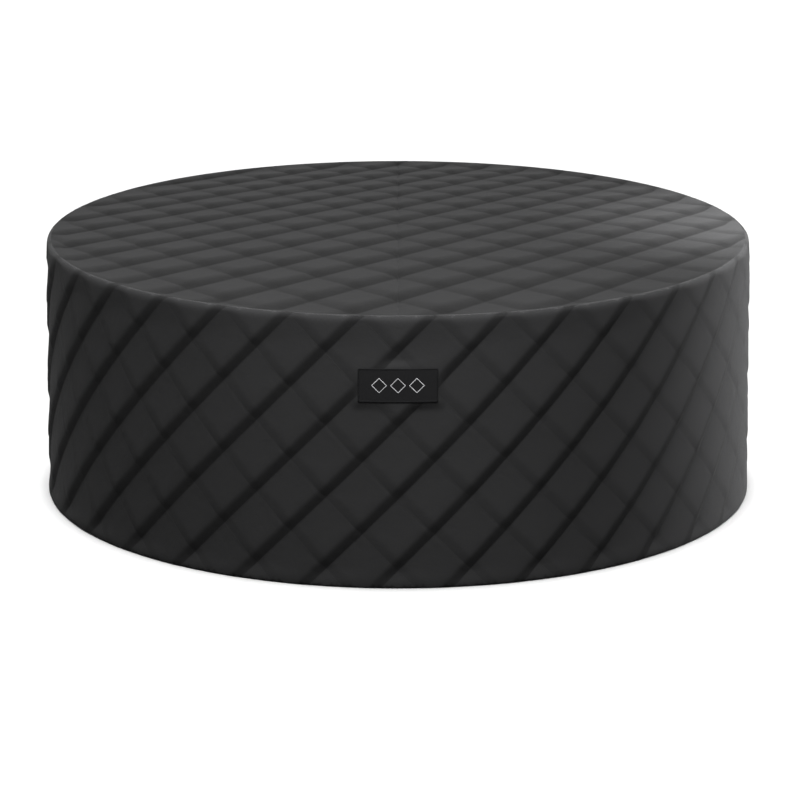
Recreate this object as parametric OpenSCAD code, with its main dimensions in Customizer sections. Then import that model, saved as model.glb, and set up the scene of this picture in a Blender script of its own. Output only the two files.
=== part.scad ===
// Round inflatable hot tub closed under a quilted thermal jacket with a folding top.
// Millimetres. +Z is up, the part stands on z = 0 and its label faces -Y.
// The jacket is a separate cover: it lifts off the tub, and its right half folds open.

/* [Jacket] */
// Radius of the jacket at its rim
rim_r = 940; // [840:5:1040]
// Radius of the jacket at its hem
hem_r = 950; // [845:5:1060]
// Height of the closed jacket
total_h = 690; // [600:5:760]
// Height of the hem above the ground
hem_z = 2; // [1:1:10]
// Radius of the rounded shoulder between side and top
shoulder_r = 14; // [14:1:20]
// Thickness of the quilted fabric
quilt_t = 14; // [10:1:20]
// Thickness of the inner lining
lining_t = 2; // [1:0.5:4]
// Thickness of the foam boards in the top
foam_t = 22; // [15:1:35]
// Gap between the two halves of the top
fold_gap = 3; // [2:0.5:6]

/* [Label] */
// Width of the sewn label
label_w = 198; // [120:2:260]
// Height of the sewn label
label_h = 87; // [50:1:120]
// Height of the label's centre above the ground
label_z = 518; // [300:2:600]

/* [Zip] */
// Width of the zip tape
tape_w = 9; // [6:0.5:10]
// Length of the zip slider
slider_l = 16; // [10:1:24]

/* [Tub] */
// Outer radius of the inflated wall
tub_r = 915; // [820:5:1000]
// Radius of the water basin
basin_r = 705; // [600:5:780]
// Height of the inflated wall
tub_h = 650; // [560:5:720]
// Radius of the inflated wall's upper shoulders
bulge_r = 60; // [30:5:80]
// Radius of the wall's lower edge
toe_r = 30; // [15:5:50]
// Thickness of the welded sheet
sheet_t = 4; // [2:0.5:5]
// Thickness of the foam ground mat
mat_t = 6; // [4:1:12]
// Number of positions for the webs in the wall
web_n = 24; // [12:1:36]
// Number of air nozzles in the bubble ring
nozzle_n = 36; // [16:2:60]

/* [Control unit] */
// Angle taken up by the unit in the wall
unit_angle = 24; // [20:1:30]
// Height of the unit's lower edge
unit_z0 = 60; // [50:5:100]
// Height of the unit's upper edge
unit_z1 = 560; // [480:5:580]
// Wall thickness of the unit's housing
unit_wall = 4; // [3:0.5:6]
// Radius of the pump motor
motor_r = 42; // [35:1:48]
// Number of impeller blades
blade_n = 6; // [4:1:8]
// Number of fan blades
fan_n = 8; // [6:1:12]
// Travel of the panel buttons
button_travel = 1.5; // [1:0.1:2]

/* [Hidden] */
$fn = 96;
top_z = total_h;
quilt_z = top_z - quilt_t;
foam_z = quilt_z - foam_t;
lid_z = foam_z - lining_t;
shoulder_z = top_z - shoulder_r;
flange_r = rim_r - shoulder_r;
panel_r = flange_r - 3;
core_r = flange_r - 14;
half_gap = fold_gap / 2;
floor_z = mat_t + sheet_t;
deck_in = basin_r + bulge_r;
deck_out = tub_r - bulge_r;
web_in = basin_r + sheet_t + 2;
web_out = tub_r - sheet_t - 2;
unit_a0 = 90 - unit_angle / 2;
unit_a1 = 90 + unit_angle / 2;
unit_r0 = basin_r + 55;
unit_r1 = tub_r - sheet_t;
gear_y = 838;
pump_x = -50;
pump_z = 150;
heat_x = 90;
heat_z = 262;
blow_x = -85;
blow_z = 440;
hose_r = 13;
hose_y = 731;
ring_top = floor_z + sheet_t + 36;
filter_y = 694;
panel_y = 810;
panel_w = 190;
panel_d = 76;
panel_z = tub_h - 8;
valve_a = 200;
valve_x = (deck_in + deck_out) / 2;
big = 3000;

// ---------- shared shapes ----------

// ring around Z between two radii and two heights
module ring(r0, r1, z0, z1) {
    translate([0, 0, z0])
        difference() {
            cylinder(r = r1, h = z1 - z0);
            translate([0, 0, -1])
                cylinder(r = r0, h = z1 - z0 + 2);
        }
}

// piece of a ring between two angles
module sector(r0, r1, z0, z1, a0, a1) {
    rotate([0, 0, a0])
        rotate_extrude(angle = a1 - a0)
            translate([r0, z0])
                square([r1 - r0, z1 - z0]);
}

// keeps what lies on one side of the fold line: side 1 is right, -1 is left
module keep_half(side) {
    intersection() {
        children();
        translate([side > 0 ? half_gap : -big - half_gap, -big / 2, -10])
            cube([big, big, big]);
    }
}

// cylinder along +Y
module rod_y(r, l, x, y, z) {
    translate([x, y, z])
        rotate([-90, 0, 0])
            cylinder(r = r, h = l);
}

// cylinder along +X
module rod_x(r, l, x, y, z) {
    translate([x, y, z])
        rotate([0, 90, 0])
            cylinder(r = r, h = l);
}

// radius of the jacket's side at a height
function side_r(z) =
    hem_r - (hem_r - rim_r) * (z - hem_z) / (shoulder_z - hem_z);

// arc points for a profile
function arc(cr, cz, r, a0, a1, n) =
    [for (i = [0:n]) [cr + r * cos(a0 + (a1 - a0) * i / n), cz + r * sin(a0 + (a1 - a0) * i / n)]];

// ---------- tub ----------

module ground_mat() {
    color("DimGray")
        cylinder(r = tub_r - 15, h = mat_t);
}

module bottom_sheet() {
    color("Gray")
        ring(basin_r, tub_r - toe_r, mat_t, mat_t + sheet_t);
}

module basin_floor() {
    color("LightSteelBlue")
        difference() {
            translate([0, 0, mat_t])
                cylinder(r = basin_r - 0.2, h = 2 * sheet_t);
            translate([0, -480, mat_t + 3])
                cylinder(r = 32.2, h = 2 * sheet_t);
        }
}

module outer_wall() {
    outer = concat(
        [[tub_r - toe_r, mat_t]],
        arc(tub_r - toe_r, mat_t + toe_r, toe_r, -80, 0, 8),
        arc(deck_out, tub_h - bulge_r, bulge_r, 0, 90, 12)
    );
    inner = concat(
        arc(deck_out, tub_h - bulge_r, bulge_r - sheet_t, 90, 0, 12),
        arc(tub_r - toe_r, mat_t + toe_r, toe_r - sheet_t, 0, -80, 8),
        [[tub_r - toe_r, mat_t + sheet_t]]
    );
    color("Gray")
        difference() {
            rotate_extrude()
                polygon(concat(outer, inner));
            sector(tub_r - 20, tub_r + 20, unit_z0, unit_z1, unit_a0 - 0.5, unit_a1 + 0.5);
        }
}

module inner_wall() {
    outer = concat(
        [[basin_r, floor_z]],
        [[basin_r, tub_h - bulge_r]],
        arc(deck_in, tub_h - bulge_r, bulge_r, 180, 90, 12)
    );
    inner = concat(
        arc(deck_in, tub_h - bulge_r, bulge_r - sheet_t, 90, 180, 12),
        [[basin_r + sheet_t, floor_z]]
    );
    color("LightSteelBlue")
        difference() {
            rotate_extrude()
                polygon(concat(outer, inner));
            rod_y(20.2, 60, pump_x, 670, pump_z);
            rod_y(20.2, 60, heat_x, 670, heat_z);
            rod_y(hose_r + 0.2, 40, blow_x, 680, ring_top - 14);
        }
}

module top_deck() {
    color("Gray")
        difference() {
            ring(deck_in, deck_out, tub_h - sheet_t, tub_h);
            translate([-panel_w / 2 - 0.3, panel_y - panel_d / 2 - 0.3, tub_h - 20])
                cube([panel_w + 0.6, panel_d + 0.6, 40]);
            rotate([0, 0, valve_a])
                translate([valve_x, 0, tub_h - 20])
                    cylinder(r = 26.2, h = 40);
        }
}

module wall_webs() {
    web_z = 60;
    web_h = tub_h - 2 * web_z - 10;
    color("Silver")
        for (i = [0:web_n - 1]) {
            a = i * 360 / web_n;
            if (abs(a - 90) > unit_angle / 2 + 6)
                rotate([0, 0, a])
                    difference() {
                        translate([web_in, -1.5, web_z])
                            cube([web_out - web_in, 3, web_h]);
                        for (k = [0:2])
                            rod_y(36, 20, (web_in + web_out) / 2, -10, web_z + web_h * (k + 0.5) / 3);
                    }
        }
}

module bubble_ring() {
    section = [
        [basin_r - 44, floor_z + sheet_t],
        [basin_r - 0.2, floor_z + sheet_t],
        [basin_r - 0.2, ring_top + 6],
        [basin_r - 30, ring_top]
    ];
    hollow = [
        [basin_r - 36, floor_z + sheet_t + 4],
        [basin_r - 5, floor_z + sheet_t + 4],
        [basin_r - 5, ring_top + 1],
        [basin_r - 26, ring_top - 4]
    ];
    color("SteelBlue")
        difference() {
            rotate_extrude()
                polygon(section);
            rotate_extrude()
                polygon(hollow);
            rod_y(hose_r + 0.2, 50, blow_x, 660, ring_top - 14);
        }
}

module air_nozzles() {
    color("LightGray")
        for (i = [0:nozzle_n - 1])
            rotate([0, 0, (i + 0.5) * 360 / nozzle_n])
                translate([basin_r - 14, 0, ring_top + 4.6])
                    difference() {
                        cylinder(r = 5, h = 5);
                        translate([0, 0, -1])
                            cylinder(r = 1.5, h = 8);
                    }
}

module air_hose() {
    z0 = ring_top - 14;
    color("WhiteSmoke")
        difference() {
            union() {
                rod_y(hose_r, hose_y - 676, blow_x, 676, z0);
                translate([blow_x, hose_y, z0])
                    sphere(r = hose_r);
                translate([blow_x, hose_y, z0])
                    cylinder(r = hose_r, h = blow_z - z0);
                translate([blow_x, hose_y, blow_z])
                    sphere(r = hose_r);
                rod_y(hose_r, gear_y - 26 - hose_y, blow_x, hose_y, blow_z);
            }
            rod_y(hose_r - 3, hose_y - 670, blow_x, 670, z0);
            translate([blow_x, hose_y, z0])
                cylinder(r = hose_r - 3, h = blow_z - z0);
            rod_y(hose_r - 3, gear_y - hose_y, blow_x, hose_y, blow_z);
        }
}

module flow_pipe(x, z, y1, cut_r) {
    difference() {
        rod_y(20, y1 - filter_y, x, filter_y, z);
        rod_y(15, y1 - filter_y + 40, x, filter_y - 20, z);
        rod_x(cut_r, 200, x - 100, gear_y, z);
    }
}

module suction_pipe() {
    color("WhiteSmoke")
        flow_pipe(pump_x, pump_z, gear_y - 20, 50.3);
}

module return_pipe() {
    color("WhiteSmoke")
        flow_pipe(heat_x, heat_z, gear_y - 10, 28.3);
}

module return_nozzle() {
    color("LightGray")
        difference() {
            union() {
                rod_y(36, 8, heat_x, filter_y - 18, heat_z);
                rod_y(22, 22, heat_x, filter_y - 32, heat_z);
            }
            rod_y(13, 60, heat_x, filter_y - 50, heat_z);
        }
}

module filter_base() {
    color("LightGray")
        difference() {
            union() {
                rod_y(62, 8, pump_x, filter_y - 8.2, pump_z);
                rod_y(26, 16, pump_x, filter_y - 24, pump_z);
            }
            rod_y(15, 60, pump_x, filter_y - 40, pump_z);
        }
}

module filter_cartridge() {
    folds = 24;
    color("White")
        translate([pump_x, filter_y - 124, pump_z])
            rotate([-90, 0, 0])
                difference() {
                    union() {
                        cylinder(r = 40, h = 99);
                        cylinder(r = 49, h = 6);
                        translate([0, 0, 93])
                            cylinder(r = 49, h = 6);
                        for (i = [0:folds - 1])
                            rotate([0, 0, i * 360 / folds])
                                translate([38, -1.5, 5])
                                    cube([9, 3, 89]);
                    }
                    translate([0, 0, 6])
                        cylinder(r = 27, h = 120);
                }
}

module filter_cap() {
    slots = 12;
    color("SteelBlue")
        translate([pump_x, filter_y - 130, pump_z])
            rotate([-90, 0, 0])
                difference() {
                    union() {
                        cylinder(r = 58, h = 118);
                        translate([-50, -6, -14])
                            cube([100, 12, 15]);
                    }
                    translate([0, 0, 4])
                        cylinder(r = 53, h = 130);
                    for (i = [0:slots - 1])
                        rotate([0, 0, i * 360 / slots])
                            translate([48, -4, 22])
                                cube([14, 8, 76]);
                }
}

module drain_fitting() {
    color("LightGray")
        translate([0, -480, mat_t + 3])
            difference() {
                cylinder(r = 32, h = 9);
                translate([0, 0, 3])
                    cylinder(r = 20, h = 9);
            }
}

module drain_cap() {
    color("SteelBlue")
        translate([0, -480, mat_t + 6.3])
            union() {
                cylinder(r = 19.6, h = 6);
                translate([0, 0, 6])
                    cylinder(r = 27, h = 5);
                translate([-20, -3, 10])
                    cube([40, 6, 7]);
            }
}

module valve_body() {
    color("LightGray")
        rotate([0, 0, valve_a])
            translate([valve_x, 0, tub_h - 30])
                difference() {
                    union() {
                        cylinder(r = 26, h = 29);
                        translate([0, 0, -30])
                            cylinder(r = 18, h = 31);
                    }
                    translate([0, 0, 12])
                        cylinder(r = 23, h = 30);
                    translate([0, 0, -40])
                        cylinder(r = 14, h = 80);
                }
}

module valve_cap() {
    color("DimGray")
        rotate([0, 0, valve_a])
            translate([valve_x, 0, tub_h - 17.6])
                union() {
                    cylinder(r = 22.4, h = 12);
                    translate([-15, -2.5, 11.5])
                        cube([30, 5, 4.5]);
                }
}

// ---------- control unit in the rear of the wall ----------

module unit_housing() {
    pad = unit_wall / unit_r1 * 57.3;
    color("DimGray")
        difference() {
            sector(unit_r0, unit_r1, unit_z0 + 2, unit_z1 - 2, unit_a0, unit_a1);
            sector(unit_r0 + unit_wall, unit_r1 + 20, unit_z0 + 2 + unit_wall,
                unit_z1 - 2 - unit_wall, unit_a0 + pad, unit_a1 - pad);
            rod_y(20.3, 100, pump_x, 720, pump_z);
            rod_y(20.3, 100, heat_x, 720, heat_z);
            rod_y(hose_r + 0.3, 100, blow_x, 720, blow_z);
        }
}

module service_panel() {
    louvres = 7;
    color("DimGray")
        difference() {
            sector(unit_r1 + 0.3, tub_r + 1, unit_z0 + 1, unit_z1 - 1, unit_a0, unit_a1);
            for (i = [0:louvres - 1])
                translate([-60, tub_r - 30, blow_z - 40 + i * 14])
                    cube([120, 60, 6]);
            rod_y(9.2, 60, 130, tub_r - 50, unit_z0 + 40);
            for (s = [-1, 1], z = [unit_z0 + 16, unit_z1 - 16])
                rod_y(2.7, 60, s * 160, tub_r - 50, z);
        }
}

module panel_screws() {
    color("Silver")
        for (s = [-1, 1], z = [unit_z0 + 16, unit_z1 - 16])
            difference() {
                union() {
                    rod_y(2.5, 20, s * 160, 886, z);
                    rod_y(5, 3, s * 160, 903.5, z);
                }
                translate([s * 160 - 4, 905.4, z - 0.6])
                    cube([8, 3, 1.2]);
            }
}

module pump_motor() {
    fins = 6;
    color("DimGray")
        union() {
            rod_x(motor_r, 118, -22.5, gear_y, pump_z);
            for (i = [0:fins - 1])
                rod_x(motor_r + 4, 4, 8 + i * 13, gear_y, pump_z);
        }
}

module pump_volute() {
    color("LightGray")
        difference() {
            rod_x(50, 54, -77, gear_y, pump_z);
            rod_x(44, 46, -73, gear_y, pump_z);
            rod_y(15, 80, pump_x, gear_y - 90, pump_z);
        }
}

module impeller() {
    color("SteelBlue")
        translate([-66, gear_y, pump_z])
            rotate([0, 90, 0])
                union() {
                    cylinder(r = 10, h = 30);
                    cylinder(r = 36, h = 3);
                    for (i = [0:blade_n - 1])
                        rotate([0, 0, i * 360 / blade_n])
                            translate([8, -1.5, 2])
                                cube([26, 3, 16]);
                }
}

module heater_tube() {
    color("Silver")
        difference() {
            union() {
                rod_x(28, 230, -100, gear_y, heat_z);
                rod_x(36, 6, -104, gear_y, heat_z);
                rod_x(36, 6, 128, gear_y, heat_z);
            }
            rod_x(24, 226, -98, gear_y, heat_z);
            rod_y(15, 60, heat_x, gear_y - 70, heat_z);
        }
}

module heater_rod() {
    color("Orange")
        for (s = [-1, 1])
            rod_x(5, 218, -94, gear_y + s * 10, heat_z);
}

module blower_case() {
    color("DimGray")
        difference() {
            rod_y(54, 56, blow_x, gear_y - 24, blow_z);
            rod_y(49, 48, blow_x, gear_y - 20, blow_z);
            rod_y(24, 20, blow_x, gear_y + 20, blow_z);
            rod_y(hose_r - 3, 30, blow_x, gear_y - 40, blow_z);
        }
}

module blower_fan() {
    color("SteelBlue")
        translate([blow_x, gear_y - 14, blow_z])
            rotate([-90, 0, 0])
                union() {
                    cylinder(r = 12, h = 34);
                    cylinder(r = 44, h = 3);
                    for (i = [0:fan_n - 1])
                        rotate([0, 0, i * 360 / fan_n])
                            translate([10, -1, 2])
                                cube([33, 2, 26]);
                }
}

module control_board() {
    color("DarkGreen")
        translate([0, 808, 360])
            cube([130, 3, 170]);
}

module board_parts() {
    color("Black")
        union() {
            translate([15, 811, 380])
                cube([34, 26, 30]);
            translate([62, 811, 380])
                cube([24, 16, 24]);
            translate([20, 811, 440])
                cube([40, 8, 40]);
            rod_y(9, 22, 90, 811, 460);
            rod_y(9, 22, 112, 811, 460);
        }
}

module power_inlet() {
    color("Black")
        difference() {
            union() {
                rod_y(9, 32, 130, tub_r - 36, unit_z0 + 40);
                rod_y(13, 3, 130, tub_r - 6, unit_z0 + 40);
            }
            rod_y(4, 60, 130, tub_r - 60, unit_z0 + 40);
        }
}

// ---------- operating panel in the deck ----------

module panel_housing() {
    color("DimGray")
        difference() {
            translate([-panel_w / 2, panel_y - panel_d / 2, panel_z - 30])
                cube([panel_w, panel_d, 30]);
            translate([-panel_w / 2 + 12, panel_y - 26, panel_z - 3])
                cube([70.6, 52, 10]);
            for (i = [0:3])
                translate([8 + i * 24, panel_y, panel_z - 8])
                    cylinder(r = 9.3, h = 20);
        }
}

module display_lens() {
    color("Black")
        translate([-panel_w / 2 + 12.3, panel_y - 25.7, panel_z - 3])
            cube([70, 51.4, 2.4]);
}

module panel_button(i) {
    translate([8 + i * 24, panel_y, panel_z - 8 + button_travel + 0.5])
        union() {
            cylinder(r = 9, h = 6);
            translate([0, 0, 5.9])
                cylinder(r1 = 9, r2 = 8, h = 2.1);
        }
}

module button_power() {
    color("Gainsboro")
        panel_button(0);
}

module button_heat() {
    color("Gainsboro")
        panel_button(1);
}

module button_filter() {
    color("Gainsboro")
        panel_button(2);
}

module button_bubble() {
    color("Gainsboro")
        panel_button(3);
}

// ---------- jacket ----------

module skirt_quilt() {
    outer = concat(
        [[hem_r, hem_z]],
        arc(flange_r, shoulder_z, shoulder_r, 0, 60, 10),
        [[flange_r + 7, top_z - 9]],
        [[flange_r, top_z - 10]]
    );
    inner = [
        [flange_r, top_z - quilt_t - 8],
        [hem_r - quilt_t, hem_z]
    ];
    color([0.13, 0.13, 0.14])
        rotate_extrude($fn = 180)
            polygon(concat(outer, inner));
}

module skirt_lining() {
    z0 = hem_z + 22;
    z1 = top_z - quilt_t - 12;
    color("Silver")
        rotate_extrude($fn = 180)
            polygon([
                [side_r(z1) - quilt_t - lining_t - 0.3, z1],
                [side_r(z1) - quilt_t - 0.3, z1],
                [side_r(z0) - quilt_t - 0.3, z0],
                [side_r(z0) - quilt_t - lining_t - 0.3, z0]
            ]);
}

module hem_tape() {
    color([0.08, 0.08, 0.09])
        rotate_extrude($fn = 180)
            polygon([
                [hem_r - quilt_t - 3.2, hem_z + 1],
                [hem_r - quilt_t - 0.4, hem_z + 1],
                [hem_r - quilt_t - 0.6, hem_z + 21],
                [hem_r - quilt_t - 3.4, hem_z + 21]
            ]);
}

// curved slab on the side of the jacket, centred on -Y
module on_side(w, h, t0, t1) {
    z0 = label_z - h / 2;
    z1 = label_z + h / 2;
    a = w / side_r(label_z) * 57.2958;
    rotate([0, 0, -90 - a / 2])
        rotate_extrude(angle = a, $fn = 180)
            polygon([
                [side_r(z0) + t0, z0],
                [side_r(z0) + t1, z0],
                [side_r(z1) + t1, z1],
                [side_r(z1) + t0, z1]
            ]);
}

module label_patch() {
    color([0.05, 0.05, 0.06])
        on_side(label_w, label_h, 0.3, 1.8);
}

module label_border() {
    edge = 4;
    color([0.1, 0.1, 0.11])
        difference() {
            on_side(label_w, label_h, 1.8, 2.6);
            translate([-label_w / 2 + edge, -hem_r - 20, label_z - label_h / 2 + edge])
                cube([label_w - 2 * edge, 60, label_h - 2 * edge]);
        }
}

// three outlined diamonds in a row
module diamond_marks(reach, line) {
    for (i = [-1:1])
        translate([i * 46, 0])
            difference() {
                rotate([0, 0, 45])
                    square(reach * 1.414, center = true);
                rotate([0, 0, 45])
                    square((reach - line) * 1.414, center = true);
            }
}

module label_emblem() {
    color([0.7, 0.7, 0.7])
        intersection() {
            on_side(label_w, label_h - 10, 1.8, 2.4);
            translate([0, -hem_r + 60, label_z])
                rotate([90, 0, 0])
                    linear_extrude(height = 120)
                        diamond_marks(19, 3);
        }
}

module top_quilt(side) {
    edge = 4;
    keep_half(side)
        translate([0, 0, quilt_z])
            union() {
                cylinder(r = panel_r, h = quilt_t - edge);
                translate([0, 0, quilt_t - edge])
                    cylinder(r1 = panel_r, r2 = panel_r - edge, h = edge);
            }
}

module foam_core(side) {
    keep_half(side)
        translate([0, 0, foam_z + 0.2])
            cylinder(r = core_r, h = foam_t - 0.4);
}

module top_lining(side) {
    keep_half(side)
        translate([0, 0, lid_z + 0.5])
            cylinder(r = core_r, h = lining_t - 0.5);
}

module top_quilt_left() {
    color([0.16, 0.16, 0.17])
        top_quilt(-1);
}

module top_quilt_right() {
    color([0.16, 0.16, 0.17])
        top_quilt(1);
}

module foam_core_left() {
    color("WhiteSmoke")
        foam_core(-1);
}

module foam_core_right() {
    color("WhiteSmoke")
        foam_core(1);
}

module top_lining_left() {
    color("Silver")
        top_lining(-1);
}

module top_lining_right() {
    color("Silver")
        top_lining(1);
}

// fabric strip that joins the two halves
module fold_strip() {
    color([0.08, 0.08, 0.09])
        translate([-half_gap, -core_r + 30, quilt_z - 2])
            cube([fold_gap - 0.6, 2 * core_r - 60, quilt_t - 2]);
}

module zip_tape() {
    color([0.08, 0.08, 0.09])
        sector(flange_r - tape_w, flange_r - 0.3, quilt_z - 6, quilt_z - 4.5, -87, 87);
}

module zip_chain() {
    color([0.25, 0.25, 0.26])
        sector(flange_r - tape_w + 2, flange_r - tape_w + 6, quilt_z - 4.5, quilt_z - 2, -87, 87);
}

module zip_slider() {
    a = slider_l / flange_r * 57.3;
    color("DarkGray")
        sector(flange_r - 1, flange_r + 5, top_z - 8.4, top_z - 3, 87 - a, 87);
}

module zip_pull() {
    a = slider_l / flange_r * 57.3;
    color("DarkGray")
        sector(flange_r + 1, flange_r + 4, top_z - 2.9, top_z - 1.2, 87 - 2.4 * a, 87 - 0.4 * a);
}

ground_mat();
bottom_sheet();
basin_floor();
outer_wall();
inner_wall();
top_deck();
wall_webs();
bubble_ring();
air_nozzles();
air_hose();
suction_pipe();
return_pipe();
return_nozzle();
filter_base();
filter_cartridge();
filter_cap();
drain_fitting();
drain_cap();
valve_body();
valve_cap();
unit_housing();
service_panel();
panel_screws();
pump_motor();
pump_volute();
impeller();
heater_tube();
heater_rod();
blower_case();
blower_fan();
control_board();
board_parts();
power_inlet();
panel_housing();
display_lens();
button_power();
button_heat();
button_filter();
button_bubble();
skirt_quilt();
skirt_lining();
hem_tape();
label_patch();
label_border();
label_emblem();
top_quilt_left();
foam_core_left();
top_lining_left();
fold_strip();
zip_tape();
zip_chain();
top_quilt_right();
foam_core_right();
top_lining_right();
zip_slider();
zip_pull();
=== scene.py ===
import bpy
import bmesh
import math
import numpy as np
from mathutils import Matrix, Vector, noise


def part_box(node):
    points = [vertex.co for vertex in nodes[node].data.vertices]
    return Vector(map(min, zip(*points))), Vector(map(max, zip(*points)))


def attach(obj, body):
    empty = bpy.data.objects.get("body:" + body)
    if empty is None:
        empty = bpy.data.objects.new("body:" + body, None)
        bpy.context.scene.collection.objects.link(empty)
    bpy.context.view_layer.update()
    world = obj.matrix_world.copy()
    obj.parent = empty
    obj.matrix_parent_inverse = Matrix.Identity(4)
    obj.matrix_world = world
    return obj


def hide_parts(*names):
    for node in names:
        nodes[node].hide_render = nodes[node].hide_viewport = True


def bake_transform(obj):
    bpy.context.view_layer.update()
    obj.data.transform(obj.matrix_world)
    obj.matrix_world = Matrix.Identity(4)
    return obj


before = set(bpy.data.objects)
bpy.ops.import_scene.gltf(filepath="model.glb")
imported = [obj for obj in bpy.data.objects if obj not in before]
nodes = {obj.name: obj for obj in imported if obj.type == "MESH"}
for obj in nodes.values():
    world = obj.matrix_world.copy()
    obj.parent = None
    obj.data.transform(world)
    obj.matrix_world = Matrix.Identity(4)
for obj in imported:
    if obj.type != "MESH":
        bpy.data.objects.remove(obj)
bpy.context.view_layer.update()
noise.seed_set(11)

# ---------------------------------------------------------------- sizes from the frame
skirt_lo, skirt_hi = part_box("skirt_quilt")
panel_lo, panel_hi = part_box("top_quilt_right")
hem_r = skirt_hi[0]
hem_z = skirt_lo[2]
top_z = panel_hi[2]
panel_r = panel_hi[0]
core_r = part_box("foam_core_right")[1][0]
lid_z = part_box("top_lining_right")[0][2]
shoulder = 0.014
flange_r = panel_r + 0.003
rim_r = flange_r + shoulder
shoulder_z = top_z - shoulder
quilt = 0.014
TURN = 2 * math.pi

# quilt: cells round the skirt, mesh steps across one cell and how they crowd at the seams,
# length of one cell along a seam, length of one stitch
AROUND = 33
CUTS = 18
CUT_CROWDING = 0.62
CELL = 0.132
STITCH = 0.0055
# simulated patch of quilt: cells each way, steps across one cell, frames
PATCH = 5
PATCH_STEPS = 16
SWELL_FRAMES = 16


def side_r(z):
    return hem_r - (hem_r - rim_r) * (z - hem_z) / (shoulder_z - hem_z)


# ---------------------------------------------------------------- mesh helpers
def make_object(name, verts, faces, mat=None, smooth=True):
    mesh = bpy.data.meshes.new(name)
    mesh.from_pydata([tuple(map(float, v)) for v in verts], [], [tuple(f) for f in faces])
    mesh.validate()
    mesh.update()
    if smooth:
        mesh.polygons.foreach_set("use_smooth", [True] * len(mesh.polygons))
    obj = bpy.data.objects.new(name, mesh)
    bpy.context.scene.collection.objects.link(obj)
    if mat:
        mesh.materials.append(mat)
    return obj


def cell_steps(count, sharp):
    """Positions across one quilt cell, closer together beside the seams."""
    x = np.arange(count) / count
    return x - sharp * np.sin(2 * np.pi * x) / (2 * np.pi)


def clip(points, faces, dist, snap, eps):
    """Cuts a mesh of coordinate rows back to where dist is below 0; snap moves rows onto the line."""
    d = dist(points)
    near = np.abs(d) < eps
    points = points.copy()
    points[near] = snap(points[near])
    d[near] = 0.0
    inside = d <= 0
    rows, dd = [tuple(q) for q in points], list(d)
    kept, cut = [], {}
    for f in faces:
        if not any(dd[i] < 0 for i in f):
            continue
        if all(inside[i] for i in f):
            kept.append(f)
            continue
        out = []
        for a, b in zip(f, f[1:] + f[:1]):
            if inside[a]:
                out.append(a)
            if inside[a] != inside[b] and dd[a] != 0 and dd[b] != 0:
                key = (min(a, b), max(a, b))
                if key not in cut:
                    t = dd[a] / (dd[a] - dd[b])
                    mid = np.array([[q + (r - q) * t for q, r in zip(rows[a], rows[b])]])
                    rows.append(tuple(snap(mid)[0]))
                    cut[key] = len(rows) - 1
                out.append(cut[key])
        if len(out) >= 3:
            kept.append(tuple(out))
    used = sorted({i for f in kept for i in f})
    remap = {o: i for i, o in enumerate(used)}
    return np.array([rows[i] for i in used]), [tuple(remap[i] for i in f) for f in kept]


def boundary_loops(faces):
    """Ordered vertex loops around the open edges, in the faces' own direction."""
    count = {}
    for f in faces:
        for a, b in zip(f, f[1:] + f[:1]):
            key = (min(a, b), max(a, b))
            count[key] = count.get(key, 0) + 1
    follow = {}
    for f in faces:
        for a, b in zip(f, f[1:] + f[:1]):
            if count[(min(a, b), max(a, b))] == 1:
                follow[a] = b
    loops = []
    left = set(follow)
    while left:
        start = min(left)
        loop = [start]
        left.discard(start)
        nxt = follow[start]
        while nxt != start and nxt in left:
            loop.append(nxt)
            left.discard(nxt)
            nxt = follow[nxt]
        loops.append(loop)
    return loops


def band(faces, prev, cur):
    """Joins two rings of vertices with quads."""
    m = len(prev)
    for k in range(m):
        faces.append((prev[(k + 1) % m], prev[k], cur[k], cur[(k + 1) % m]))


def add_lattice(obj, a, b):
    """Stores the quilt coordinates of each face corner; the cloth material reads them."""
    layer = obj.data.uv_layers.new(name="quilt")
    layer.data.foreach_set("uv", np.stack([a, b], axis=1).ravel().astype(np.float32))


def corner_vertices(obj):
    index = np.zeros(len(obj.data.loops), int)
    obj.data.loops.foreach_get("vertex_index", index)
    return index


def double_skin(name, verts, faces, mat):
    """A sheet with two faces: verts holds one face and then the other, and the open edges are closed."""
    low = len(verts) // 2
    both = [f for q in faces for f in (q, tuple(v + low for v in reversed(q)))]
    for loop in boundary_loops(faces):
        for a, b in zip(loop, loop[1:] + loop[:1]):
            both.append((b, a, a + low, b + low))
    return make_object(name, verts, both, mat)


def wear(obj, body, node_name=None):
    """Says which body a piece rides and hides the CAD node it stands for."""
    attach(obj, body)
    if node_name:
        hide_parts(node_name)


def hash01(i, j, k=0):
    v = np.sin(i * 12.9898 + j * 78.233 + k * 37.719) * 43758.5453
    return v - np.floor(v)


def saw(t, crest, roll, fall):
    """Height across one cell: a short steep flank from the seam at 0 up to crest, then a long
    gentle slope down to the next seam at 1. roll rounds the crest."""
    up = 1 - (1 - np.clip(t / crest, 0, 1)) ** roll
    down = 1 - np.clip((t - crest * 0.7) / (1 - crest * 0.7), 0, 1) ** fall
    return up * down


def pillow(a, b, cross, crest, seed):
    """Height 0 to 1 over quilt coordinates a, b. Seams run where either is whole.
    cross is how far the seams of a stay up, so b's seams are the deeper family.
    The filling hangs towards the two lower seams, which gives each cell its steep flanks there."""
    ia, ib = np.floor(a), np.floor(b)
    fa, fb = a - ia, b - ib
    ga = saw(fa, crest, 1.7, 1.5)
    gb = saw(1 - fb, crest, 1.25, 1.3)
    size = 0.94 + 0.12 * hash01(ia - ib, np.mod(ia + ib, 2 * AROUND), seed)
    return np.clip((cross + (1 - cross) * ga) * gb * size * 1.12, 0, 1.12)


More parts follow.
